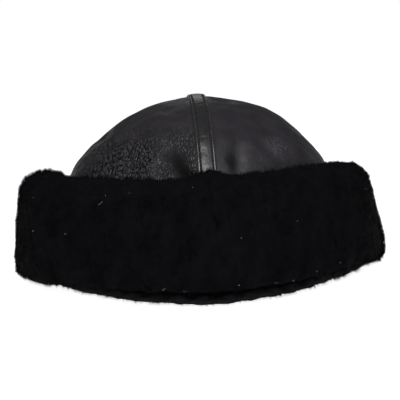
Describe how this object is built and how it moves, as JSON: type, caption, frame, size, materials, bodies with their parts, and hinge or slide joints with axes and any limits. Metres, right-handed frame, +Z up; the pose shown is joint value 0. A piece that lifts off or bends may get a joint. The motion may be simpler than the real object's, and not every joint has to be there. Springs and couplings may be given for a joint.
{
  "type": "leather cap with shearling cuff",
  "caption": "Domed leather cap of two panels under a raised seam strap, with a fur lining band, a rolled fur hem and a wide turned-up shearling cuff.",
  "frame": {"origin": "middle of the footprint on the surface that the hem rests on", "axes": "+Z up through the crown, -Y towards the front, +Y the back and +X the right side as seen from the front"},
  "size_m": [0.2584, 0.2874, 0.1232],
  "materials": {
    "crown_leather": "pebbled black leather, soft sheen",
    "strap_leather": "smooth black leather, glossier than the crown",
    "lining_fur": "deep black curly sheared sheepskin",
    "cuff_fur": "deep black plush sheared sheepskin"
  },
  "bodies": {
    "root": {"crown_left": "crown_leather", "crown_right": "crown_leather", "seam_strap": "strap_leather", "lining_band": "lining_fur", "cuff": "cuff_fur"}
  },
  "joints": []
}
